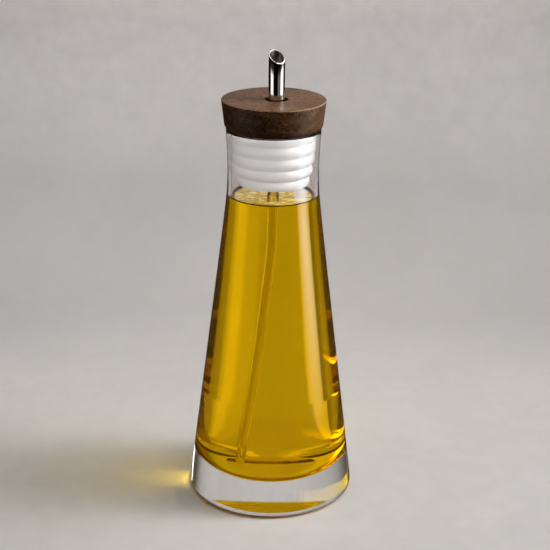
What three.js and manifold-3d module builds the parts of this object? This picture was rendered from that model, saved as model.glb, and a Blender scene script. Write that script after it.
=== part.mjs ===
// Oil dispenser bottle: a tapered glass bottle holding oil, closed by a ribbed stopper under
// a turned wooden cap, with a steel pouring tube and a thin dip tube.
// Millimetres, +Z up, origin at the centre of the underside, the viewer on the -Y side.
import * as THREE from "three";
import { mergeVertices } from "three/addons/utils/BufferGeometryUtils.js";
import Module from "manifold-3d";

const wasm = await Module();
wasm.setup();

// Gap between neighbouring pieces
const clearance = 0.3;

// Glass bottle
const baseRadius = 44;
const heelRadius = 4;
const bodyTaper = 0.1251; // radius lost per millimetre of height
const neckRadius = 23.4;
const boreRadius = 21.3;
const mouthFlare = 1;
const flareStart = 175;
const shoulderBlend = 0.92;
const shoulderStart = 140;
const rimHeight = 200.7;
const wallThickness = 2.6;
const floorThickness = 13.4;
const insideCorner = 21.2;

// Oil
const oilLevel = 165.25;

// Stopper, a stack of rounded ribs that narrows downwards
const stopperBottom = 172.3;
const stopperTop = 200.7;
const stopperEdge = 1.5;
const topRibHeight = 198.9;
const topRibRadius = 22.1;
const ribCount = 5;
const ribPitch = 6.1;
const ribDepth = 1.2;
const ribNarrowing = 3.3;
const ribCurve = 2; // how late the narrowing sets in

// Cap
const capBottom = 201;
const capTop = 216;
const capBottomRadius = 25;
const capTopRadius = 26.8;
const capLowerRound = 3;
const capUpperRound = 0.5;
const capHoleRadius = 5.95;
const capHoleDepth = 9;

// Steel pouring tube, wide above and narrow below the step in the stopper
const spoutRadius = 4.15;
const spoutBore = 3.45;
const spoutOffset = 1.3; // the wide part stands a little to the right of the axis
const spoutRimHeight = 237.8;
const spoutCutAngle = THREE.MathUtils.degToRad(36.3);
const spoutLipTurn = THREE.MathUtils.degToRad(60.6); // low side of the cut, from +X towards the viewer
const stepHeight = 186;
const stemRadius = 2.8;
const stemBore = 1.9;
const stemBottom = 161.5;

// Dip tube: sideways offset and height of the points that it runs through
const dipTubeRadius = 1.8;
const dipTubeBore = 1.1;
const dipTubeRoute = [
  [0, 170.5],
  [0, 159],
  [-0.6, 135],
  [-2.6, 108],
  [-4.5, 83],
  [-7.2, 53],
  [-11.3, floorThickness + 1.9],
];

// Facets
const roundSegments = 56;
const tubeSegments = 28;
const dipSegments = 10;
const dipSteps = 14;
const cornerSteps = 5;
const shoulderSteps = 7;
const rimSteps = 6;
const ribSteps = 5;
const edgeSteps = 2;

const bodyTilt = Math.atan(bodyTaper);
const footRadius = baseRadius + bodyTaper * heelRadius + heelRadius * (1 / Math.cos(bodyTilt) - 1);

// All outlines lie in a plane of radius and height.
function at(radius, height) {
  return new THREE.Vector2(radius, height);
}

function arc(centre, radius, from, to, steps) {
  const points = [];
  for (let i = 0; i <= steps; i++) {
    const angle = THREE.MathUtils.lerp(from, to, i / steps);
    points.push(at(centre.x + radius * Math.cos(angle), centre.y + radius * Math.sin(angle)));
  }
  return points;
}

// The larger of two radii, with their crossing rounded off
function blendRadii(a, b) {
  return (a + b + Math.hypot(a - b, shoulderBlend)) / 2;
}

function flareAt(height) {
  const rise = Math.max(0, height - flareStart) / (rimHeight - flareStart);
  return mouthFlare * rise ** 2;
}

function outsideRadius(height) {
  return blendRadii(footRadius - bodyTaper * height, neckRadius + flareAt(height));
}

function insideRadius(height) {
  const body = footRadius - wallThickness - bodyTaper * height;
  return blendRadii(body, boreRadius + flareAt(height));
}

// From the axis along a flat floor, round the corner and up the wall
function vesselOutline(radiusAt, floor, corner, top) {
  const bend = floor + corner;
  const centre = at(radiusAt(bend) - corner / Math.cos(bodyTilt), bend);
  const points = [at(0, floor), ...arc(centre, corner, -Math.PI / 2, bodyTilt, cornerSteps)];
  for (let i = 0; i <= shoulderSteps; i++) {
    const height = THREE.MathUtils.lerp(shoulderStart, top, i / shoulderSteps);
    points.push(at(radiusAt(height), height));
  }
  return points;
}

function bottleOutline() {
  const lipRadius = (outsideRadius(rimHeight) - insideRadius(rimHeight)) / 2;
  const lipHeight = rimHeight - lipRadius;
  const lipCentre = at((outsideRadius(lipHeight) + insideRadius(lipHeight)) / 2, lipHeight);
  const lip = arc(lipCentre, lipRadius, 0, Math.PI, rimSteps).slice(1, -1);
  const outside = vesselOutline(outsideRadius, 0, heelRadius, lipHeight);
  const inside = vesselOutline(insideRadius, floorThickness, insideCorner, lipHeight);
  return [...outside, ...lip, ...inside.reverse()];
}

function oilOutline() {
  const radiusAt = (height) => insideRadius(height) - clearance;
  const floor = floorThickness + clearance;
  const points = vesselOutline(radiusAt, floor, insideCorner - clearance, oilLevel);
  return [...points, at(0, oilLevel)];
}

// Each rib bulges from groove to groove, the lowest one from the rounded bottom edge.
function stopperOutline() {
  const edgeHeight = stopperBottom + stopperEdge;
  const edgeCentre = at(topRibRadius - ribNarrowing - stopperEdge, edgeHeight);
  const points = [
    at(stemRadius + clearance, stopperBottom),
    ...arc(edgeCentre, stopperEdge, -Math.PI / 2, -Math.PI / 6, edgeSteps),
    at(edgeCentre.x + stopperEdge, edgeHeight),
  ];
  for (let rib = ribCount - 1; rib >= 0; rib--) {
    const middle = topRibHeight - ribPitch * rib;
    const narrowed = topRibRadius - ribNarrowing * (rib / (ribCount - 1)) ** ribCurve;
    const crest = Math.min(narrowed, insideRadius(middle) - clearance);
    const lower = Math.max(middle - ribPitch / 2, edgeHeight);
    const upper = Math.min(middle + ribPitch / 2, stopperTop);
    for (let i = 1; i <= ribSteps; i++) {
      const height = THREE.MathUtils.lerp(lower, upper, i / ribSteps);
      const lean = (height - middle) / (ribPitch / 2);
      points.push(at(crest - ribDepth * lean ** 2, height));
    }
  }
  points.push(at(spoutRadius + clearance, stopperTop));
  points.push(at(spoutRadius + clearance, stepHeight - clearance));
  points.push(at(stemRadius + clearance, stepHeight - clearance));
  return [...points, points[0]];
}

function capOutline() {
  const lean = Math.atan((capTopRadius - capBottomRadius) / (capTop - capBottom));
  const lowerCentre = at(capBottomRadius - capLowerRound, capBottom + capLowerRound);
  const upperCentre = at(capTopRadius - capUpperRound, capTop - capUpperRound);
  const points = [
    at(spoutRadius + clearance, capBottom),
    ...arc(lowerCentre, capLowerRound, -Math.PI / 2, -lean, cornerSteps),
    ...arc(upperCentre, capUpperRound, -lean, Math.PI / 2, edgeSteps),
    at(capHoleRadius, capTop),
    at(capHoleRadius, capTop - capHoleDepth),
    at(spoutRadius + clearance, capTop - capHoleDepth),
  ];
  return [...points, points[0]];
}

function spoutOutline() {
  const blankTop = spoutRimHeight + 2 * spoutRadius;
  const points = [
    at(stemRadius, stemBottom),
    at(stemRadius, stepHeight),
    at(spoutRadius, stepHeight),
    at(spoutRadius, blankTop),
    at(spoutBore, blankTop),
    at(spoutBore, stepHeight + stemRadius - stemBore),
    at(stemBore, stepHeight + stemRadius - stemBore),
    at(stemBore, stemBottom),
  ];
  return [...points, points[0]];
}

function lathe(outline, segments) {
  return new THREE.LatheGeometry(outline, segments);
}

// Moves the rings of a turned shape that lie between two radii to stand round the spout.
function offsetRings(geometry, low, high) {
  const place = geometry.attributes.position;
  for (let i = 0; i < place.count; i++) {
    const radius = Math.hypot(place.getX(i), place.getZ(i));
    if (radius > low && radius < high) {
      place.setX(i, place.getX(i) + spoutOffset);
    }
  }
  return geometry;
}

function toSolid(geometry) {
  const bare = geometry.clone();
  bare.deleteAttribute("normal");
  bare.deleteAttribute("uv");
  const merged = mergeVertices(bare, 1e-3);
  return new wasm.Manifold(
    new wasm.Mesh({
      numProp: 3,
      vertProperties: merged.attributes.position.array,
      triVerts: new Uint32Array(merged.index.array),
    }),
  );
}

function toGeometry(solid) {
  const mesh = solid.getMesh();
  const geometry = new THREE.BufferGeometry();
  geometry.setAttribute("position", new THREE.BufferAttribute(mesh.vertProperties, 3));
  geometry.setIndex(new THREE.BufferAttribute(mesh.triVerts, 1));
  geometry.computeVertexNormals();
  return geometry;
}

// A round section swept along the dip tube's route, hollow where a bore is given
function sweepDipTube(route, radius, bore) {
  const section = new THREE.Shape().absarc(0, 0, radius, 0, 2 * Math.PI);
  if (bore > 0) {
    section.holes.push(new THREE.Path().absarc(0, 0, bore, 0, 2 * Math.PI, true));
  }
  const points = route.map(([offset, height]) => new THREE.Vector3(offset, height, 0));
  return new THREE.ExtrudeGeometry(section, {
    steps: dipSteps,
    curveSegments: dipSegments / 2,
    bevelEnabled: false,
    extrudePath: new THREE.CatmullRomCurve3(points),
  });
}

// The block above the slanting mouth
function mouthCut() {
  const side = 6 * spoutRadius;
  return new THREE.BoxGeometry(side, side, side)
    .translate(0, side / 2, 0)
    .rotateZ(-spoutCutAngle)
    .rotateY(-spoutLipTurn)
    .translate(spoutOffset, spoutRimHeight, 0);
}

function makeSpout() {
  const turned = lathe(spoutOutline(), tubeSegments);
  const blank = toSolid(offsetRings(turned, (stemRadius + spoutBore) / 2, 2 * spoutRadius));
  return toGeometry(blank.subtract(toSolid(mouthCut())));
}

function makeStopper() {
  const turned = lathe(stopperOutline(), roundSegments);
  return offsetRings(turned, (stemRadius + spoutRadius) / 2 + clearance, 2 * spoutRadius);
}

function makeCap() {
  return offsetRings(lathe(capOutline(), roundSegments), 0, 2 * capHoleRadius);
}

// The oil stands clear of the steel stem and of the dip tube that hangs in it.
function makeOil() {
  const stemHole = new THREE.CylinderGeometry(
    stemRadius + clearance,
    stemRadius + clearance,
    2 * (oilLevel - stemBottom + clearance),
    tubeSegments,
  ).translate(0, oilLevel, 0);
  const sleeveRoute = dipTubeRoute.map(([offset, height]) => [offset, height]);
  sleeveRoute[sleeveRoute.length - 1][1] -= clearance;
  const sleeve = sweepDipTube(sleeveRoute, dipTubeRadius + clearance, 0);
  const filling = toSolid(lathe(oilOutline(), roundSegments));
  return toGeometry(filling.subtract(toSolid(stemHole)).subtract(toSolid(sleeve)));
}

const glass = new THREE.MeshStandardMaterial({ color: 0xdfe6e4, transparent: true, opacity: 0.35 });
const oil = new THREE.MeshStandardMaterial({ color: 0xb98a08, roughness: 0.1 });
const silicone = new THREE.MeshStandardMaterial({ color: 0xe9e6e2, roughness: 0.5 });
const walnut = new THREE.MeshStandardMaterial({ color: 0x5a4033, roughness: 0.45 });
const steel = new THREE.MeshStandardMaterial({ color: 0xc4c2bf, metalness: 1, roughness: 0.2 });
const clearPlastic = new THREE.MeshStandardMaterial({ color: 0xd9c98a, roughness: 0.2 });

const pieces = [
  ["bottle", lathe(bottleOutline(), roundSegments), glass],
  ["oil", makeOil(), oil],
  ["stopper", makeStopper(), silicone],
  ["cap", makeCap(), walnut],
  ["spout", makeSpout(), steel],
  ["dip_tube", sweepDipTube(dipTubeRoute, dipTubeRadius, dipTubeBore), clearPlastic],
];

// The outlines stand along Y, and the group turns them upright.
const upright = new THREE.Group();
upright.rotation.x = Math.PI / 2;
for (const [name, geometry, material] of pieces) {
  const mesh = new THREE.Mesh(geometry, material);
  mesh.name = name;
  upright.add(mesh);
}

const dispenser = new THREE.Group();
dispenser.name = "oil_dispenser";
dispenser.add(upright);

export default dispenser;
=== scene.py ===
import math

import bmesh
import bpy
from mathutils import Matrix, Vector


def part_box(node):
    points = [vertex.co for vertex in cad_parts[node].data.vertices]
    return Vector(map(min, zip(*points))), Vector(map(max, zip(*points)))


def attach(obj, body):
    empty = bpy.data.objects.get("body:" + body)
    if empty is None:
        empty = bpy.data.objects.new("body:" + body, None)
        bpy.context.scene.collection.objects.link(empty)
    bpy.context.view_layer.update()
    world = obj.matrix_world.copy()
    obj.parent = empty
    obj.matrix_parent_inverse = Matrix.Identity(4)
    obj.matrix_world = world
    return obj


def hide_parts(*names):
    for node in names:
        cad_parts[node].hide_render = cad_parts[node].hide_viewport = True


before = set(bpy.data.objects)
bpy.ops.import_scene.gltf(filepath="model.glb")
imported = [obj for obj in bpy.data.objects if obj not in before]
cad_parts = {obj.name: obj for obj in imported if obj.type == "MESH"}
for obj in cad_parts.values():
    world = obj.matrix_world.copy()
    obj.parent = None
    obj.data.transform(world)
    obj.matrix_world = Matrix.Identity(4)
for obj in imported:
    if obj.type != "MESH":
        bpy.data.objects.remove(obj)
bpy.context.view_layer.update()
print("frame loaded:", sorted(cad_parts))

mm = 0.001
mergeReach = 0.002 * mm        # vertices closer than this are one
ringSlack = 0.1                # mm, where rings are picked by their radius
black = (0, 0, 0)


# small helpers for making and dressing a piece

def newObject(name, bm):
    mesh = bpy.data.meshes.new(name)
    bm.to_mesh(mesh)
    bm.free()
    obj = bpy.data.objects.new(name, mesh)
    bpy.context.scene.collection.objects.link(obj)
    return obj


def offsetRings(bm, low, high, offset):
    # moves the rings of a turned piece that lie between two radii, all in mm
    rings = [vert for vert in bm.verts if low < vert.co.xy.length / mm < high]
    bmesh.ops.translate(bm, verts=rings, vec=(offset * mm, 0, 0))


def closeShell(bm):
    bmesh.ops.remove_doubles(bm, verts=bm.verts, dist=mergeReach)
    bmesh.ops.recalc_face_normals(bm, faces=bm.faces)


def turnOutline(outline, rounds, steps, closed=False):
    # outline: radius and height in mm; rounds: corner number -> (reach in mm, segments)
    bm = bmesh.new()
    verts = [bm.verts.new((radius * mm, 0, height * mm)) for radius, height in outline]
    ends = verts[1:] + verts[:1] if closed else verts[1:]
    for pair in zip(verts, ends):
        bm.edges.new(pair)
    for corner, (reach, segments) in rounds.items():
        bmesh.ops.bevel(bm, geom=[verts[corner]], offset=reach * mm, offset_type="OFFSET",
                        segments=segments, profile=0.5, affect="VERTICES", material=-1)
    bmesh.ops.spin(bm, geom=bm.verts[:] + bm.edges[:], cent=(0, 0, 0), axis=(0, 0, 1),
                   angle=2 * math.pi, steps=steps, use_merge=True)
    closeShell(bm)
    return bm


def smoothFaces(obj, sharpAngle):
    for face in obj.data.polygons:
        face.use_smooth = True
    obj.data.set_sharp_from_angle(angle=math.radians(sharpAngle))


def newParts(made, kind):
    return [item for item in made if isinstance(item, kind)]


def fitPiece(obj, node, slot, *materials):
    for material in materials:
        obj.data.materials.append(material)
    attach(obj, "root")
    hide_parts(node)
    print("made", obj.name, len(obj.data.polygons), "faces")


# shader maths: a socket that can be added, multiplied and so on

class Wire:
    def __init__(self, socket):
        self.socket = socket

    @staticmethod
    def node(tree, kind, settings, inputs, out=0):
        made = tree.nodes.new(kind)
        for key, value in settings.items():
            if key == "stops":
                ramp = made.color_ramp
                while len(ramp.elements) < len(value):
                    ramp.elements.new(0.5)
                for stop, (place, colour) in zip(ramp.elements, value):
                    stop.position = place
                    stop.color = rgba(colour)
            else:
                setattr(made, key, value)
        setSockets(tree, made, inputs)
        return Wire(made.outputs[out])

    def math(self, operation, first, second):
        return Wire.node(self.socket.id_data, "ShaderNodeMath", {"operation": operation},
                         {0: first, 1: second})

    def __add__(self, other):
        return self.math("ADD", self, other)

    def __radd__(self, other):
        return self.math("ADD", other, self)

    def __sub__(self, other):
        return self.math("SUBTRACT", self, other)

    def __rsub__(self, other):
        return self.math("SUBTRACT", other, self)

    def __mul__(self, other):
        return self.math("MULTIPLY", self, other)

    def __rmul__(self, other):
        return self.math("MULTIPLY", other, self)

    def __truediv__(self, other):
        return self.math("DIVIDE", self, other)

    def __rtruediv__(self, other):
        return self.math("DIVIDE", other, self)

    def __pow__(self, other):
        return self.math("POWER", self, other)


def setSockets(tree, node, values):
    for key, value in values.items():
        if isinstance(value, Wire):
            tree.links.new(value.socket, node.inputs[key])
        else:
            node.inputs[key].default_value = value


def newFinish(name):
    material = bpy.data.materials.new(name)
    material.use_nodes = True
    tree = material.node_tree
    return material, tree, tree.nodes["Principled BSDF"]


def rgba(colour):
    return colour if isinstance(colour, Wire) else (*colour, 1.0)


def placed(tree, scale=(1, 1, 1), location=(0, 0, 0), turn=(0, 0, 0)):
    coords = Wire.node(tree, "ShaderNodeTexCoord", {}, {}, "Object")
    return Wire.node(tree, "ShaderNodeMapping", {},
                     {"Vector": coords, "Scale": scale, "Location": location, "Rotation": turn})


def axisOf(tree, vector, axis):
    return Wire.node(tree, "ShaderNodeSeparateXYZ", {}, {"Vector": vector}, axis)


def along(tree, axis):
    return axisOf(tree, placed(tree), axis)


def fromAxis(tree, offset=0.0):
    return ((along(tree, "X") - offset * mm) ** 2 + along(tree, "Y") ** 2) ** 0.5


def noise(tree, vector, scale, detail=2.0, rough=0.5, twist=0.0):
    return Wire.node(tree, "ShaderNodeTexNoise", {},
                     {"Vector": vector, "Scale": scale, "Detail": detail, "Roughness": rough,
                      "Distortion": twist})


def fade(tree, value, low, high, toLow=0.0, toHigh=1.0):
    return Wire.node(tree, "ShaderNodeMapRange", {"clamp": True},
                     {"Value": value, "From Min": low, "From Max": high,
                      "To Min": toLow, "To Max": toHigh})


def fadeMm(tree, value, limits, toLow=0.0, toHigh=1.0, base=0.0):
    # limits in mm, counted from base
    low, high = limits
    return fade(tree, value, (base + low) * mm, (base + high) * mm, toLow, toHigh)


def fadeAside(tree, squares, toLow=0.0, toHigh=1.0):
    # by the square of the distance to the left or right, in mm squared
    low, high = squares
    return fade(tree, along(tree, "X") ** 2, low * mm ** 2, high * mm ** 2, toLow, toHigh)


def stretch(tree, pattern, toLow=0.0, toHigh=1.0):
    return fade(tree, pattern, 0.3, 0.7, toLow, toHigh)  # most of a noise lies between these


def mixColour(tree, share, first, second, blend="MIX"):
    # 0 is the factor, 6 and 7 the two colours, and output 2 the mixed colour
    return Wire.node(tree, "ShaderNodeMix", {"data_type": "RGBA", "blend_type": blend},
                     {0: share, 6: rgba(first), 7: rgba(second)}, 2)


def bump(tree, height, strength, depth):
    return Wire.node(tree, "ShaderNodeBump", {},
                     {"Height": height, "Strength": strength, "Distance": depth * mm})


# glass bottle, in mm

bottleForm = {
    "footRadius": 44.53,
    "taper": 0.1251,           # radius lost per mm of height
    "neckRadius": 23.4,
    "boreRadius": 21.3,
    "mouthFlare": 1.0,
    "flareStart": 175.0,
    "shoulderBlend": 0.92,
    "shoulderStart": 128.0,
    "wall": 2.6,
    "floor": 13.4,
    "heelReach": 4.5,
    "insideReach": 24.0,
    "lipReach": 0.4,
    "rim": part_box("bottle")[1].z / mm,
    "oilLevel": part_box("oil")[1].z / mm,
    "meniscus": 1.3,           # climb of the oil on the glass
    "ior": 1.52,
    "wetIor": 1.0,             # the oil bends light nearly as much as the glass
    "cornerIor": 1.045,
    "tints": ((1, 1, 1), (0.985, 0.992, 0.99)),
    "smudge": 0.012,           # highest roughness
    "floorSlack": 0.1,
    "flatSlope": 0.999,        # faces that point further up are the floor
    "outsideSteps": 26,
    "drySteps": 22,
    "wetSteps": 14,
    "roundSegments": 14,
    "lipSegments": 6,
    "sharpAngle": 40,
    "steps": 160,
}


def blendRadii(a, b):
    return (a + b + math.hypot(a - b, bottleForm["shoulderBlend"])) / 2


def flareAt(height):
    rise = max(0, height - bottleForm["flareStart"]) / (bottleForm["rim"] - bottleForm["flareStart"])
    return bottleForm["mouthFlare"] * rise ** 2


def outsideRadius(height):
    return blendRadii(bottleForm["footRadius"] - bottleForm["taper"] * height,
                      bottleForm["neckRadius"] + flareAt(height))


def floorRadius(height):
    return bottleForm["footRadius"] - bottleForm["wall"] - bottleForm["taper"] * height


def insideRadius(height):
    return blendRadii(floorRadius(height), bottleForm["boreRadius"] + flareAt(height))


def wallCurve(radiusAt, low, high, count):
    heights = [low + (high - low) * i / count for i in range(count + 1)]
    return [(radiusAt(height), height) for height in heights]


def clearGlass(name, ior):
    material, tree, shader = newFinish(name)
    ripple = noise(tree, placed(tree, (1, 1, 0.4)), 38, 1.0)
    smudge = noise(tree, placed(tree), 90, 4.0, 0.6)
    setSockets(tree, shader, {
        "Base Color": mixColour(tree, stretch(tree, ripple), *bottleForm["tints"]),
        "Roughness": fade(tree, smudge, 0.45, 0.8, 0.0, bottleForm["smudge"]),
        "Normal": bump(tree, ripple, 0.02, 0.4),
        "Transmission Weight": 1.0,
        "IOR": ior,
    })
    return material


def pickGlass(face, contact):
    # 0 is dry glass, 1 the wetted wall and floor, 2 the wetted corner
    form = bottleForm
    centre = face.center / mm
    middle = (insideRadius(centre.z) + outsideRadius(centre.z)) / 2
    onInside = centre.xy.length < middle
    if not (onInside and form["floor"] - form["floorSlack"] < centre.z < contact):
        return 0
    isFlat = face.normal.z > form["flatSlope"]
    return 2 if centre.z < form["floor"] + form["insideReach"] and not isFlat else 1


def makeBottle():
    form = bottleForm
    contact = form["oilLevel"] + form["meniscus"]
    outside = wallCurve(outsideRadius, form["shoulderStart"], form["rim"], form["outsideSteps"])
    dry = wallCurve(insideRadius, contact, form["rim"], form["drySteps"])
    wet = wallCurve(insideRadius, form["shoulderStart"], contact, form["wetSteps"])[:-1]
    inside = wet + dry
    outline = [(0, 0), (form["footRadius"], 0), *outside, *reversed(inside),
               (floorRadius(form["floor"]), form["floor"]), (0, form["floor"])]
    lip = 1 + len(outside)
    corner = len(outline) - 2
    rounds = {1: (form["heelReach"], form["roundSegments"]),
              lip: (form["lipReach"], form["lipSegments"]),
              lip + 1: (form["lipReach"], form["lipSegments"]),
              corner: (form["insideReach"], form["roundSegments"])}
    obj = newObject("glassBottle", turnOutline(outline, rounds, form["steps"]))
    smoothFaces(obj, form["sharpAngle"])
    for face in obj.data.polygons:
        face.material_index = pickGlass(face, contact)
    fitPiece(obj, "bottle", "glass", clearGlass("clear glass", form["ior"]),
             clearGlass("wetted glass", form["wetIor"]), clearGlass("wetted corner", form["cornerIor"]))


# oil, in mm

oilForm = {
    "bite": 0.35,              # how far the oil reaches into the glass
    "edgeBite": 0.02,          # and at the top of its climb
    "stemBite": 0.1,
    "stemRadius": 2.8,
    "stemBottom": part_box("spout")[0].z / mm,
    "stemInside": 0.5,         # how far the oil stands up in the stem
    "stemMeniscus": 0.7,       # climb at the stem, its reach and its points
    "stemReach": 1.6,
    "stemSteps": 6,
    "wallReach": 3.0,
    "wallSteps": 8,
    "sharpAngle": 50,
    "steps": 160,
    "ior": 1.0,                # the glass around it does the bending
    "clearness": 0.95,         # the rest is its slight cloudiness
    "golden": ((0.925, 0.668, 0.005), (0.905, 0.652, 0.004)),
    "deep": ((0.77, 0.415, 0.004), (0.75, 0.40, 0.004)),
    "bend": ((0.88, 0.58, 0.004), (0.86, 0.565, 0.004)),
    "bendSlope": -0.25,        # faces that point further down are the bend
    "levelSlack": 0.01,
    "floorSlack": 0.05,
}

# the free surface, with painted flecks of light that glow by emission, a painted highlight, a painted
# reflection of the stem and a painted dark line on the wall
oilSurface = {
    # painted light: the flecks' size, their dark and light gold, and their glow
    "fleckScale": 160,
    "gold": ((0.62, 0.40, 0.015), (0.97, 0.75, 0.12)),
    "glow": ((0.62, 0.40, 0.03), (1.6, 1.24, 0.42)),
    "paintedGlowStrength": 0.3,
    "clearness": 0.45,
    # painted shade: a dark line where the oil climbs the wall
    "edgeRise": (0.06, 0.22),
    "edgeStart": (12, 15),
    "edgeShadeColour": (0.05, 0.03, 0),
    # painted highlight: a whiter glowing patch to the right of the stem, in front
    "highlightLeft": (10.4, 11.6),
    "highlightRight": (17, 18.5),
    "highlightDepth": (-14, -6),
    "highlightGlow": (1.05, 1.15, 1.3),
    # painted reflection of the stem on the oil: dark sides and a golden strip, in front of the stem only
    "reflectedStemSides": (8.0, 10.5),  # squared
    "reflectedStemStrip": (0.6, 4.2),   # squared
    "reflectedStemFront": (-16, 0),
    "reflectedStemBack": (-1, 1),
    "reflectedStemColours": ((0.02, 0.012, 0), (0.75, 0.50, 0.04)),
}


def goldenOil(name, pale, deep):
    material, tree, shader = newFinish(name)
    cloud = noise(tree, placed(tree), 30, 3.0)
    setSockets(tree, shader, {
        "Base Color": mixColour(tree, stretch(tree, cloud), pale, deep),
        "Roughness": stretch(tree, cloud, 0.0, 0.004),
        "Transmission Weight": oilForm["clearness"],
        "IOR": oilForm["ior"],
    })
    return material


def openOil():
    look, level = oilSurface, bottleForm["oilLevel"]
    material, tree, shader = newFinish("open oil")
    # painted light: flecks of lighter gold that also glow
    flecks = noise(tree, placed(tree, (1, 2.2, 1)), look["fleckScale"], 2.0, 0.5, 1.5)
    share = fade(tree, flecks, 0.45, 0.6)
    # painted shade: a dark line, without glow, where the oil climbs the wall
    edge = fadeMm(tree, along(tree, "Z"), look["edgeRise"], base=level)
    edge = edge * fadeMm(tree, fromAxis(tree), look["edgeStart"])
    gold = mixColour(tree, share, *look["gold"])
    glow = mixColour(tree, share, *look["glow"])
    # painted highlight: a whiter glow right of the stem, in front
    paintedHighlight = fadeMm(tree, along(tree, "X"), look["highlightLeft"])
    paintedHighlight = paintedHighlight * fadeMm(tree, along(tree, "X"), look["highlightRight"], 1, 0)
    paintedHighlight = paintedHighlight * fadeMm(tree, along(tree, "Y"), look["highlightDepth"])
    glow = mixColour(tree, paintedHighlight, glow, look["highlightGlow"])
    # painted reflection of the stem: dark sides, golden middle, in front of it only
    stem = mixColour(tree, fadeAside(tree, look["reflectedStemStrip"], 1, 0), *look["reflectedStemColours"])
    reflectedStem = fadeAside(tree, look["reflectedStemSides"], 1, 0)
    reflectedStem = reflectedStem * fadeMm(tree, along(tree, "Y"), look["reflectedStemFront"])
    reflectedStem = reflectedStem * fadeMm(tree, along(tree, "Y"), look["reflectedStemBack"], 1, 0)
    gold = mixColour(tree, reflectedStem, gold, stem)
    glow = mixColour(tree, reflectedStem, glow, stem)
    setSockets(tree, shader, {
        "Base Color": mixColour(tree, edge, gold, look["edgeShadeColour"]),
        "Roughness": stretch(tree, flecks, 0.0, 0.01),
        "Transmission Weight": look["clearness"],
        "IOR": bottleForm["ior"],
        "Emission Color": mixColour(tree, edge, glow, black),
        "Emission Strength": look["paintedGlowStrength"],
    })
    return material


def meniscusCurve(contactRadius, level, climb, reach, count):
    # a liquid's edge that climbs a wall, from the flat surface to the wall
    shares = [i / count for i in range(count + 1)]
    return [(contactRadius - reach * (1 - share), level + climb * share ** 3) for share in shares]


def pickOil(face, floor, level):
    # 0 is the side, 1 the free surface, 2 the flat bottom, 3 the bend between bottom and side
    form = oilForm
    centre = face.center / mm
    if centre.z > level - form["levelSlack"] and centre.xy.length <= insideRadius(centre.z):
        return 1
    if centre.z < floor + form["floorSlack"]:
        return 2
    inBend = face.normal.z < form["bendSlope"] and centre.z < floor + bottleForm["insideReach"]
    return 3 if inBend else 0


def makeOil():
    form, glass = oilForm, bottleForm
    level = glass["oilLevel"]
    contact = level + glass["meniscus"]
    floor = glass["floor"] - form["bite"]
    wall = wallCurve(insideRadius, glass["shoulderStart"], level, glass["wetSteps"])
    wall = [(radius + form["bite"], height) for radius, height in wall]
    edge = meniscusCurve(insideRadius(contact) + form["edgeBite"], level, glass["meniscus"],
                         form["wallReach"], form["wallSteps"])
    stemSide = form["stemRadius"] - form["stemBite"]
    stem = meniscusCurve(-stemSide, level, form["stemMeniscus"], form["stemReach"], form["stemSteps"])
    stem = [(-radius, height) for radius, height in stem]
    stemFloor = form["stemBottom"] + form["stemInside"]
    outline = [(0, floor), (floorRadius(floor) + form["bite"], floor), *wall, *reversed(edge), *stem,
               (stemSide, stemFloor), (0, stemFloor)]
    rounds = {1: (glass["insideReach"] + form["bite"], glass["roundSegments"])}
    obj = newObject("oilFill", turnOutline(outline, rounds, form["steps"]))
    smoothFaces(obj, form["sharpAngle"])
    for face in obj.data.polygons:
        face.material_index = pickOil(face, floor, level)
    fitPiece(obj, "oil", "oil", goldenOil("golden oil", *form["golden"]), openOil(),
             goldenOil("deep oil", *form["deep"]), goldenOil("bend oil", *form["bend"]))


# ribbed stopper, in mm

stopperForm = {
    "bottom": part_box("stopper")[0].z / mm,
    "top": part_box("stopper")[1].z / mm,
    "bottomReach": 1.6,
    "bottomSegments": 5,
    "topRibHeight": 198.9,
    "topRibRadius": 22.1,
    "ribs": 5,
    "pitch": 6.1,
    "ribDepth": 1.4,
    "ribSteps": 12,
    "narrowing": 3.3,
    "narrowingCurve": 2.0,     # how late the narrowing sets in
    "wallGap": 0.05,
    "wideBore": 4.45,
    "stemBore": 3.1,
    "step": 185.7,
    "boreOffset": 1.3,
    "sharpAngle": 45,
    "steps": 128,
    "whites": ((0.86, 0.855, 0.845), (0.9, 0.895, 0.89)),
    "roughness": (0.28, 0.36),
    "ior": 1.41,
    "softness": 0.1,           # share of light that goes below the skin, and how deep
    "softDepth": 2.5,
}


def whiteSilicone():
    form = stopperForm
    material, tree, shader = newFinish("white silicone")
    cloud = noise(tree, placed(tree), 60, 3.0)
    grain = noise(tree, placed(tree), 1400, 2.0)
    setSockets(tree, shader, {
        "Base Color": mixColour(tree, stretch(tree, cloud), *form["whites"]),
        "Roughness": stretch(tree, cloud, *form["roughness"]),
        "Normal": bump(tree, grain, 0.08, 0.03),
        "IOR": form["ior"],
        "Subsurface Weight": form["softness"],
        "Subsurface Radius": (1.0, 0.95, 0.9),
        "Subsurface Scale": form["softDepth"] * mm,
    })
    return material


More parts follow.
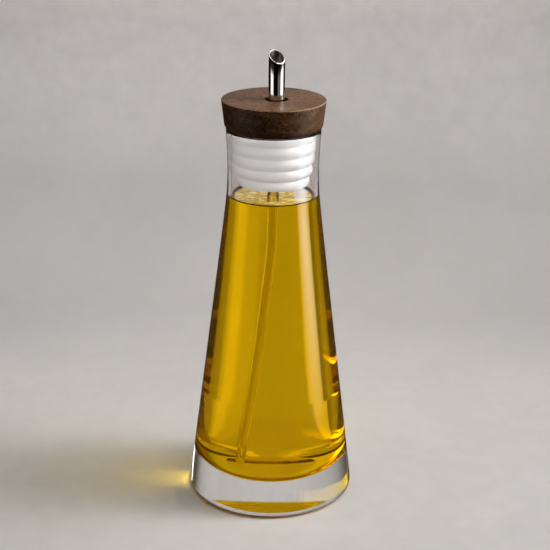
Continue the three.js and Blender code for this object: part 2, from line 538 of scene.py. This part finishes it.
def makeStopper():
    form = stopperForm
    half = form["pitch"] / 2
    crests = []
    for rib in reversed(range(form["ribs"])):
        middle = form["topRibHeight"] - form["pitch"] * rib
        narrowed = form["narrowing"] * (rib / (form["ribs"] - 1)) ** form["narrowingCurve"]
        crest = min(form["topRibRadius"] - narrowed, insideRadius(middle) - form["wallGap"])
        low = max(middle - half, form["bottom"])
        high = min(middle + half, form["top"])
        for i in range(form["ribSteps"]):
            height = low + (high - low) * i / form["ribSteps"]
            crests.append((crest - form["ribDepth"] * ((height - middle) / half) ** 2, height))
    outline = [(form["stemBore"], form["bottom"]), *crests, (crests[-1][0], form["top"]),
               (form["wideBore"], form["top"]), (form["wideBore"], form["step"]),
               (form["stemBore"], form["step"])]
    rounds = {1: (form["bottomReach"], form["bottomSegments"])}
    bm = turnOutline(outline, rounds, form["steps"], closed=True)
    offsetRings(bm, form["wideBore"] - ringSlack, form["wideBore"] + ringSlack, form["boreOffset"])
    obj = newObject("ribbedStopper", bm)
    smoothFaces(obj, form["sharpAngle"])
    fitPiece(obj, "stopper", "silicone", whiteSilicone())


# walnut cap, in mm

capForm = {
    "bottom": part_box("bottle")[1].z / mm,  # rests on the rim
    "top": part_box("cap")[1].z / mm,
    "topRadius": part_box("cap")[1].x / mm,
    "bottomRadius": 25.0,
    "lowerReach": 3.1,
    "lowerSegments": 10,
    "upperReach": 0.4,
    "upperSegments": 4,
    "holeRadius": 5.95,
    "holeDepth": 9.0,
    "holeOffset": 1.3,
    "holeSegments": 3,
    "tightRadius": 4.45,
    "sharpAngle": 40,
    "steps": 160,
    "woodTones": [(0.30, (0.022, 0.009, 0.003)), (0.45, (0.084, 0.036, 0.014)),
                  (0.58, (0.180, 0.083, 0.036)), (0.75, (0.33, 0.165, 0.075))],
    "topBand": (-0.5, -0.2),   # from the top
    # painted light: the top face a little lighter
    "litTopColour": (0.5, 0.30, 0.18),
    "litTopShare": 0.1,
    "poreColour": (0.012, 0.006, 0.003),
    "poreShare": 0.9,
    # painted light: the side lighter towards the right
    "litRightSide": (0.42, 0.27, 0.18),
    "litRightShare": 0.16,
    "litRightStart": (8, 25),
    # painted highlight: a light line along the upper edge, strongest on the right
    "edgeHighlight": (0.46, 0.30, 0.19),
    "edgeHighlightShare": 0.7,
    "edgeHighlightStart": (0, 12),
    "edgeHighlightBand": (-0.7, -0.45),   # from the top
    "edgeHighlightReach": (-0.55, -0.3),   # from the upper edge
    # painted shade in the hole
    "holeShadeColour": (0.008, 0.004, 0.002),
    "holeShadeShare": 0.85,
    "holeShadeBand": (0.05, 0.35),    # from the hole's wall
}


def walnut():
    form = capForm
    material, tree, shader = newFinish("lacquered walnut")
    cloud = noise(tree, placed(tree, (25, 90, 90)), 1.0, 3.0)
    rings = Wire.node(tree, "ShaderNodeTexWave", {"wave_type": "RINGS", "rings_direction": "X"},
                      {"Vector": placed(tree, (6, 60, 60), (0.3, 1.6, -14.2)), "Scale": 1.1,
                       "Distortion": 5.0, "Detail": 3.0, "Detail Scale": 1.6})
    fibre = noise(tree, placed(tree, (110, 1500, 1500)), 1.0, 4.0, 0.65)
    pores = fade(tree, noise(tree, placed(tree, (520, 1500, 1500), (3, 5, 7)), 1.0, 1.0), 0.54, 0.64)
    mottle = noise(tree, placed(tree, (150, 260, 260), (1, 2, 3)), 1.0, 4.0, 0.65)
    tone = rings * 0.06 + fibre * 0.3 + cloud * 0.3 + mottle * 0.34
    wood = Wire.node(tree, "ShaderNodeValToRGB", {"stops": form["woodTones"]}, {"Fac": tone})
    onTop = fadeMm(tree, along(tree, "Z"), form["topBand"], base=form["top"])
    # painted light: the top face a little lighter
    wood = mixColour(tree, onTop * form["litTopShare"], wood, form["litTopColour"])
    wood = mixColour(tree, pores * form["poreShare"], wood, form["poreColour"])
    # painted light: the side lighter towards the right, not on the top
    litRightSide = fadeMm(tree, along(tree, "X"), form["litRightStart"]) * (1 - onTop)
    wood = mixColour(tree, litRightSide * form["litRightShare"], wood, form["litRightSide"])
    # painted highlight along the upper edge, growing towards the right
    edgeHighlight = fadeMm(tree, fromAxis(tree), form["edgeHighlightReach"], base=form["topRadius"])
    edgeHighlight = edgeHighlight * fadeMm(tree, along(tree, "Z"), form["edgeHighlightBand"], base=form["top"])
    edgeHighlight = edgeHighlight * fadeMm(tree, along(tree, "X"), form["edgeHighlightStart"], 0, form["edgeHighlightShare"])
    wood = mixColour(tree, edgeHighlight, wood, form["edgeHighlight"])
    # painted shade: dark inside the hole and just around its rim
    holeShade = fadeMm(tree, fromAxis(tree, form["holeOffset"]), form["holeShadeBand"], 1, 0, form["holeRadius"])
    setSockets(tree, shader, {
        "Base Color": mixColour(tree, holeShade * form["holeShadeShare"], wood, form["holeShadeColour"]),
        "Roughness": stretch(tree, fibre, 0.34, 0.44) + pores * 0.15,
        "Normal": bump(tree, fibre * 0.4 - pores, 0.25, 0.05),
        "Specular IOR Level": 0.06,
        "Coat Weight": 0.06,
        "Coat Roughness": 0.12,
    })
    return material


def makeCap():
    form = capForm
    floor = form["top"] - form["holeDepth"]
    outline = [(form["tightRadius"], form["bottom"]), (form["bottomRadius"], form["bottom"]),
               (form["topRadius"], form["top"]), (form["holeRadius"], form["top"]),
               (form["holeRadius"], floor), (form["tightRadius"], floor)]
    rounds = {1: (form["lowerReach"], form["lowerSegments"]),
              2: (form["upperReach"], form["upperSegments"]),
              3: (form["upperReach"], form["holeSegments"])}
    bm = turnOutline(outline, rounds, form["steps"], closed=True)
    offsetRings(bm, 0, 2 * form["holeRadius"], form["holeOffset"])
    obj = newObject("walnutCap", bm)
    smoothFaces(obj, form["sharpAngle"])
    fitPiece(obj, "cap", "walnut", walnut())


# steel spout, in mm

spoutForm = {
    "radius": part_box("spout")[1].y / mm,
    "bore": 3.45,
    "offset": 1.3,             # the wide part stands to the right of the axis
    "mouth": 237.8,            # height of the slanted mouth on the axis
    "slant": math.radians(36.3),
    "lipTurn": math.radians(-60.6),
    "step": 186.0,
    "stemRadius": 2.8,
    "stemBore": 1.9,
    "stemBottom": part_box("spout")[0].z / mm,
    "stemRound": 0.2,
    "rimRound": 0.1,
    "roundSegments": 3,
    "sharpAngle": 40,
    "steps": 96,
    "steels": ((0.74, 0.725, 0.70), (0.80, 0.79, 0.775)),
    # painted shade: the bore darker than the outside
    "boreShadeColour": (0.34, 0.30, 0.27),
    "boreBand": (0.05, 0.25),  # from the bore's wall
    "stemReflectionColours": ((0.85, 0.62, 0.17), (0.03, 0.02, 0.004)),  # of the stem, middle and edges: a painted reflection, golden in the middle and dark at the edges
    "stemReflectionSides": (0.8, 4.6),  # squared
    "stemReflectionBand": (-0.3, 0),    # from the stopper's underside
    "roughness": (0.06, 0.11),
}


def polishedSteel():
    form = spoutForm
    material, tree, shader = newFinish("polished steel")
    drawn = noise(tree, placed(tree, (900, 900, 25)), 1.0, 3.0)
    cloud = noise(tree, placed(tree), 220, 3.0)
    steel = mixColour(tree, stretch(tree, cloud), *form["steels"])
    inBore = fadeMm(tree, fromAxis(tree, form["offset"]), form["boreBand"], 1, 0, form["bore"])
    # painted shade: the bore darker than the outside
    steel = mixColour(tree, inBore, steel, form["boreShadeColour"])
    # painted reflection on the stem below the stopper: golden middle, dark edges
    stem = mixColour(tree, fadeAside(tree, form["stemReflectionSides"]), *form["stemReflectionColours"])
    stemReflection = fadeMm(tree, along(tree, "Z"), form["stemReflectionBand"], 1, 0, stopperForm["bottom"])
    setSockets(tree, shader, {
        "Base Color": mixColour(tree, stemReflection, steel, stem),
        "Metallic": 1.0,
        "Roughness": stretch(tree, drawn, *form["roughness"]) + inBore * 0.25,
        "Normal": bump(tree, drawn, 0.05, 0.02),
    })
    return material


def makeSpout():
    form = spoutForm
    blank = form["mouth"] + 2 * form["radius"]
    shoulder = form["step"] + form["stemRadius"] - form["stemBore"]
    outline = [(form["stemRadius"], form["stemBottom"]), (form["stemRadius"], form["step"]),
               (form["radius"], form["step"]), (form["radius"], blank), (form["bore"], blank),
               (form["bore"], shoulder), (form["stemBore"], shoulder),
               (form["stemBore"], form["stemBottom"])]
    stemRound = (form["stemRound"], form["roundSegments"])
    rounds = {0: stemRound, len(outline) - 1: stemRound}
    bm = turnOutline(outline, rounds, form["steps"], closed=True)
    offsetRings(bm, form["stemRadius"] + ringSlack, 2 * form["radius"], form["offset"])
    lean = Matrix.Rotation(form["lipTurn"], 3, "Z") @ Matrix.Rotation(form["slant"], 3, "Y")
    cut = bmesh.ops.bisect_plane(bm, geom=bm.verts[:] + bm.edges[:] + bm.faces[:],
                                 plane_co=(form["offset"] * mm, 0, form["mouth"] * mm),
                                 plane_no=lean @ Vector((0, 0, 1)), clear_outer=True)
    rim = newParts(cut["geom_cut"], bmesh.types.BMEdge)
    bmesh.ops.bridge_loops(bm, edges=rim)
    bmesh.ops.bevel(bm, geom=rim, offset=form["rimRound"] * mm, offset_type="OFFSET",
                    segments=form["roundSegments"], profile=0.5, affect="EDGES", material=-1)
    closeShell(bm)
    obj = newObject("steelSpout", bm)
    smoothFaces(obj, form["sharpAngle"])
    fitPiece(obj, "spout", "steel", polishedSteel())


# dip tube, in mm

tubeForm = {
    "radius": 1.8,
    "wall": 0.7,
    "route": [(0, 170.5), (0, 159), (-0.6, 135), (-2.6, 108), (-4.5, 83), (-7.2, 53), (-11.3, 15.3)],
    "stepsPerSpan": 8,
    "sides": 28,
    "sharpAngle": 40,
    "ior": 1.13,               # against the oil around it
    "plastics": ((0.94, 0.91, 0.80), (0.85, 0.80, 0.64)),
}


def clearPlastic():
    material, tree, shader = newFinish("clear plastic")
    drawn = noise(tree, placed(tree, (600, 600, 40)), 1.0, 2.0)
    setSockets(tree, shader, {
        "Base Color": mixColour(tree, drawn, *tubeForm["plastics"]),
        "Roughness": stretch(tree, drawn, 0.0, 0.05),
        "Transmission Weight": 1.0,
        "IOR": tubeForm["ior"],
    })
    return material


def smoothRoute(points, perSpan):
    padded = [points[0], *points, points[-1]]
    route = []
    for a, b, c, d in zip(padded, padded[1:], padded[2:], padded[3:]):
        for i in range(perSpan):
            t = i / perSpan
            route.append(0.5 * (2 * b + (c - a) * t + (2 * a - 5 * b + 4 * c - d) * t ** 2
                                + (3 * b - a - 3 * c + d) * t ** 3))
    return [*route, points[-1]]


def makeDipTube():
    form = tubeForm
    knots = [Vector((offset * mm, 0, height * mm)) for offset, height in form["route"]]
    route = smoothRoute(knots, form["stepsPerSpan"])
    bm = bmesh.new()
    ring = bmesh.ops.create_circle(bm, segments=form["sides"], radius=form["radius"] * mm,
                                   matrix=Matrix.Translation(route[0]))["verts"]
    edges = list({edge for vert in ring for edge in vert.link_edges})
    heading = Vector((0, 0, -1))
    for here, there, beyond in zip(route, route[1:], route[2:] + route[-1:]):
        made = bmesh.ops.extrude_edge_only(bm, edges=edges)["geom"]
        ring = newParts(made, bmesh.types.BMVert)
        edges = newParts(made, bmesh.types.BMEdge)
        bmesh.ops.translate(bm, verts=ring, vec=there - here)
        ahead = (beyond - here).normalized()
        bend = heading.rotation_difference(ahead).to_matrix()
        bmesh.ops.rotate(bm, verts=ring, cent=there, matrix=bend)
        heading = ahead
    closeShell(bm)
    obj = newObject("dipTube", bm)
    shell = obj.modifiers.new("wall", "SOLIDIFY")
    shell.thickness = form["wall"] * mm
    shell.offset = -1
    smoothFaces(obj, form["sharpAngle"])
    fitPiece(obj, "dip_tube", "clear_plastic", clearPlastic())


# stage, in metres

stageForm = {
    "front": -2.4,
    "bend": 0.24,
    "curve": 0.18,
    "curveSegments": 16,
    "height": 2.0,
    "halfWidth": 2.4,
    "gap": 0.00015,            # air under the glass foot
    "sharpAngle": 60,
    "nearPaper": (0.605, 0.58, 0.566),
    # painted shade: the paper darker further back
    "shadedFarPaper": (0.5, 0.478, 0.465),
    "farStart": (0.04, 0.26),
    # painted light: the paper lighter higher up the sweep
    "litHighPaper": (0.98, 0.936, 0.913),
    "highStart": (0.06, 0.2),
    "specks": (0.42, 0.40, 0.39),
    "speckShare": 0.2,
    "rightShade": 0.15,
    "rightStart": (-0.04, 0.2),
    "mirrorShade": 0.97,       # darker in reflections, and for the light that it passes on
    "mirrorEnd": (0.2, 0.32),
    "bounceShade": 0.4,
}

# painted light: how bright the floor behind the bottle looks through the oil, as bands by slope away from
# the axis, and brightness
oilStrips = {
    "bottleBack": 0.044,
    "leastDepth": 0.002,
    "span": 3.2,
    "top": (0.01, 0.06),
    "tint": (1, 0.80, 0.75),
    "fromRight": [
        [(-1.5, 0.5), (-1.35, 0.37), (-1.15, 0.26), (-1.04, 0.25), (-0.985, 0.29)],  # dark side
        [(-0.94, 0.86), (-0.8, 0.92), (-0.6, 0.94), (-0.5, 0.9)],                    # bright strip
        [(-0.445, 0.52), (0, 0.475), (0.12, 0.475), (0.19, 0.5), (0.235, 0.58), (0.42, 0.59)],
        [(0.47, 0.66), (0.54, 0.79), (0.62, 0.8), (0.74, 0.83), (0.8, 0.8)],         # pale strip
        [(0.87, 0.66), (1.0, 0.6), (1.1, 0.5), (1.18, 0.37), (1.45, 0.37)],          # dark side
    ],
}


def rayShare(tree, kind):
    return Wire.node(tree, "ShaderNodeLightPath", {}, {}, kind)


def mirrored(tree):
    # 1 for what shows in a reflection, 0 for what is seen straight or through glass
    return rayShare(tree, "Is Glossy Ray") * (1 - rayShare(tree, "Is Transmission Ray"))


def behindOil(tree):
    look = oilStrips
    depth = along(tree, "Y") - look["bottleBack"]
    slope = along(tree, "X") / depth.math("MAXIMUM", depth, look["leastDepth"])
    levels = [level for strip in look["fromRight"] for level in strip]
    stops = [(0.5 + place / look["span"], (level, level, level)) for place, level in levels]
    ramp = Wire.node(tree, "ShaderNodeValToRGB", {"stops": stops},
                     {"Fac": slope * (1 / look["span"]) + 0.5})
    return mixColour(tree, 1.0, ramp, look["tint"], "MULTIPLY")


def floorPaper(tree):
    form = stageForm
    cloud = noise(tree, placed(tree), 6, 4.0)
    fine = noise(tree, placed(tree), 90, 5.0, 0.6)
    coarse = noise(tree, placed(tree, (1, 1, 1.6)), 30, 4.0)
    depth = fade(tree, along(tree, "Y"), *form["farStart"])
    # painted shade further back and painted light higher up the sweep
    paper = mixColour(tree, depth, form["nearPaper"], form["shadedFarPaper"])
    paintedLift = fade(tree, along(tree, "Z"), *form["highStart"]) * 0.85 + stretch(tree, cloud) * 0.15
    paper = mixColour(tree, paintedLift, paper, form["litHighPaper"])
    specks = fade(tree, fine * 0.6 + coarse * 0.4, 0.35, 0.65, 0.0, form["speckShare"])
    paper = mixColour(tree, specks, paper, form["specks"])
    toRight = fade(tree, along(tree, "X"), *form["rightStart"], 0, form["rightShade"])
    return mixColour(tree, toRight, paper, black)


def paleFloor():
    material, tree, shader = newFinish("pale floor")
    # painted light: the strips replace the paper where rays come through the glass
    through = fade(tree, along(tree, "Z"), *oilStrips["top"], 1, 0) * rayShare(tree, "Is Transmission Ray")
    paper = mixColour(tree, through, floorPaper(tree), behindOil(tree))
    low = fade(tree, along(tree, "Z"), *stageForm["mirrorEnd"], 1, 0)
    shade = mirrored(tree) * low * stageForm["mirrorShade"]
    shade = shade + rayShare(tree, "Is Diffuse Ray") * stageForm["bounceShade"]
    setSockets(tree, shader, {"Base Color": mixColour(tree, shade, paper, black), "Roughness": 0.8,
                              "Specular IOR Level": 0.0})
    # clear from behind, so that other views see past the sweep
    behind = Wire.node(tree, "ShaderNodeNewGeometry", {}, {}, "Backfacing")
    clear = Wire.node(tree, "ShaderNodeBsdfTransparent", {}, {})
    mixed = Wire.node(tree, "ShaderNodeMixShader", {}, {0: behind, 1: Wire(shader.outputs[0]), 2: clear})
    setSockets(tree, tree.nodes["Material Output"], {"Surface": mixed})
    return material


def makeStage():
    form = stageForm
    bm = bmesh.new()
    back = form["bend"] + form["curve"]
    outline = [(form["front"], 0), (back, 0), (back, form["height"])]
    verts = [bm.verts.new((-form["halfWidth"], y, z - form["gap"])) for y, z in outline]
    for pair in zip(verts, verts[1:]):
        bm.edges.new(pair)
    bmesh.ops.bevel(bm, geom=[verts[1]], offset=form["curve"], offset_type="OFFSET",
                    segments=form["curveSegments"], profile=0.5, affect="VERTICES", material=-1)
    made = bmesh.ops.extrude_edge_only(bm, edges=bm.edges[:])["geom"]
    bmesh.ops.translate(bm, verts=newParts(made, bmesh.types.BMVert),
                        vec=(2 * form["halfWidth"], 0, 0))
    bmesh.ops.recalc_face_normals(bm, faces=bm.faces)
    if max(bm.faces, key=lambda face: face.calc_area()).normal.z < 0:
        bmesh.ops.reverse_faces(bm, faces=bm.faces)
    sweep = newObject("paleSweep", bm)
    smoothFaces(sweep, form["sharpAngle"])
    sweep.data.materials.append(paleFloor())
    print("made the stage")


# light, in metres and watts

softboxes = {
    "keyCore": {"place": (0.9, -0.03, 0.69), "aim": (-0.1, 0, 0.05), "width": 0.3, "height": 0.65,
                "power": 1.65, "spread": 100},
    "keyWide": {"place": (0.70, -0.04, 0.90), "aim": (-0.05, 0, 0.05), "width": 0.7, "height": 0.8,
                "power": 3.0, "spread": 110, "throughGlass": False},  # only the core shines through the oil
    "topFill": {"place": (0, -0.1, 2.0), "aim": (0, 0.1, 0), "width": 1.2, "height": 1.2, "power": 5.7},
    "backWash": {"place": (-0.1, -0.05, 0.9), "aim": (-0.1, 0.45, 0.2), "width": 0.8, "height": 0.3,
                 "power": 0.56, "spread": 90},
    "innerLeft": {"place": (-0.4, -0.75, 0.3), "aim": (0, 0, 0.18), "width": 0.4, "height": 0.4,
                  "power": 2.4, "insideOnly": True},
    "innerRight": {"place": (0.115, -0.06, 0.215), "aim": (0, 0, 0.18), "width": 0.055, "height": 0.055,
                   "power": 0.04, "spread": 120, "insideOnly": True},
}

insidePieces = ("glassBottle", "oilFill", "ribbedStopper")

# cards that only show in reflections: the glow is at the low and the high edge
cards = {
    "rightCard": {"azimuth": 69, "distance": 0.102, "width": 0.058, "low": 0.0225, "high": 0.175,
                  "glow": (0, 6.2), "colour": (0.68, 0.80, 1), "flat": 0.0, "crown": 0.03},
    "rightTall": {"azimuth": 77, "distance": 0.15, "width": 0.12, "low": 0.15, "high": 0.22,
                  "glow": (2.5, 2.7), "colour": (1, 0.99, 0.98)},
    "frontTall": {"azimuth": 33, "distance": 0.15, "width": 0.08, "low": 0.15, "high": 0.22,
                  "glow": (0.2, 0.2), "colour": (1, 0.97, 0.94)},
    "leftTall": {"azimuth": -62, "distance": 0.15, "width": 0.13, "low": 0.15, "high": 0.22,
                 "glow": (1.1, 1.35), "colour": (1, 0.97, 0.94)},
}

studioWorld = {
    "strength": 0.32,
    "colour": (1, 0.975, 0.955),
    "bounceShade": 0.75,
}


def softbox(name, inside, place, aim, width, height, power, spread=180, throughGlass=True, insideOnly=False):
    light = bpy.data.lights.new(name, "AREA")
    light.shape = "RECTANGLE"
    light.size = width
    light.size_y = height
    light.energy = power
    light.spread = math.radians(spread)
    obj = bpy.data.objects.new(name, light)
    obj.location = place
    obj.rotation_euler = (Vector(aim) - Vector(place)).to_track_quat("-Z", "Y").to_euler()
    obj.visible_camera = False
    obj.visible_transmission = throughGlass
    obj.visible_glossy = not insideOnly
    bpy.context.scene.collection.objects.link(obj)
    if insideOnly:
        obj.light_linking.receiver_collection = inside


def cardGlow(name, azimuth, width, low, high, glow, colour, flat, crown):
    # fades to the card's sides and to its crown
    material, tree, shader = newFinish(name)
    turned = placed(tree, turn=(0, 0, -math.radians(azimuth)))
    edge = fade(tree, (axisOf(tree, turned, "X") * (2 / width)) ** 2, flat, 1, 1, 0) ** 1.4
    edge = edge * fade(tree, along(tree, "Z"), high - crown - 0.001, high, 1, 0.2)
    share = edge * fade(tree, along(tree, "Z"), low, high, *glow) * (1 / max(glow))
    setSockets(tree, shader, {"Base Color": rgba(black), "Specular IOR Level": 0.0,
                              "Emission Color": mixColour(tree, share, black, colour),
                              "Emission Strength": max(glow)})
    return material


def reflector(name, azimuth, distance, width, low, high, glow, colour, flat=0.6, crown=0.0):
    turn = Matrix.Rotation(math.radians(azimuth), 3, "Z")
    upright = turn @ Matrix.Rotation(math.pi / 2, 3, "X")
    bm = bmesh.new()
    bmesh.ops.create_grid(bm, x_segments=1, y_segments=1, size=0.5)
    bmesh.ops.scale(bm, verts=bm.verts, vec=(width, high - low, 1))
    bmesh.ops.rotate(bm, verts=bm.verts, cent=(0, 0, 0), matrix=upright)
    bmesh.ops.translate(bm, verts=bm.verts, vec=turn @ Vector((0, -distance, (low + high) / 2)))
    card = newObject(name, bm)
    card.data.materials.append(cardGlow(name, azimuth, width, low, high, glow, colour, flat, crown))
    card.visible_camera = False
    card.visible_diffuse = False
    card.visible_transmission = False
    card.visible_shadow = False


def makeWorld():
    world = bpy.data.worlds.new("studio")
    world.use_nodes = True
    tree = world.node_tree
    skyward = axisOf(tree, Wire.node(tree, "ShaderNodeTexCoord", {}, {}, "Generated"), "Z")
    reflected = mirrored(tree) * fade(tree, skyward, 0.3, 0.7, 1, 0.5)
    bounced = studioWorld["bounceShade"] * rayShare(tree, "Is Diffuse Ray")
    setSockets(tree, tree.nodes["Background"], {
        "Color": rgba(studioWorld["colour"]),
        "Strength": studioWorld["strength"] * (1 - reflected) * (1 - bounced),
    })
    bpy.context.scene.world = world


def makeLight():
    inside = bpy.data.collections.new("insideBottle")
    for name in insidePieces:
        inside.objects.link(bpy.data.objects[name])
    for name, plan in softboxes.items():
        softbox(name, inside, **plan)
    for name, plan in cards.items():
        reflector(name, **plan)
    makeWorld()
    print("set", len(softboxes), "lights and", len(cards), "cards")


# camera, in mm

photoView = {
    "aim": (1.47, 0, 121.14),
    "distance": 791.34,
    "pitch": math.radians(20.161),
    "roll": math.radians(0.605),
    "focalPixels": 1500.0,
    "framePixels": 550.0,
    "sensor": 36.0,
    "clipStart": 10.0,
}


def makeCamera():
    view = photoView
    data = bpy.data.cameras.new("photoCamera")
    data.sensor_width = view["sensor"]
    data.lens = view["sensor"] * view["focalPixels"] / view["framePixels"]
    data.clip_start = view["clipStart"] * mm
    camera = bpy.data.objects.new("photoCamera", data)
    back = Vector((0, -math.cos(view["pitch"]), math.sin(view["pitch"])))
    eye = (Vector(view["aim"]) + back * view["distance"]) * mm
    turn = Matrix.Rotation(math.pi / 2 - view["pitch"], 4, "X") @ Matrix.Rotation(view["roll"], 4, "Z")
    camera.matrix_world = Matrix.Translation(eye) @ turn
    bpy.context.scene.collection.objects.link(camera)
    bpy.context.scene.camera = camera
    print("set the camera")


lightPaths = {
    "bounces": 24,             # enough for glass, oil and tube one behind the other
    "glossBlur": 0.1,
}


def setLightPaths():
    scene = bpy.context.scene
    scene.view_settings.view_transform = "Standard"
    scene.cycles.max_bounces = lightPaths["bounces"]
    scene.cycles.transmission_bounces = lightPaths["bounces"]
    scene.cycles.blur_glossy = lightPaths["glossBlur"]


makeCamera()
makeBottle()
makeOil()
makeStopper()
makeCap()
makeSpout()
makeDipTube()
makeStage()
makeLight()
setLightPaths()
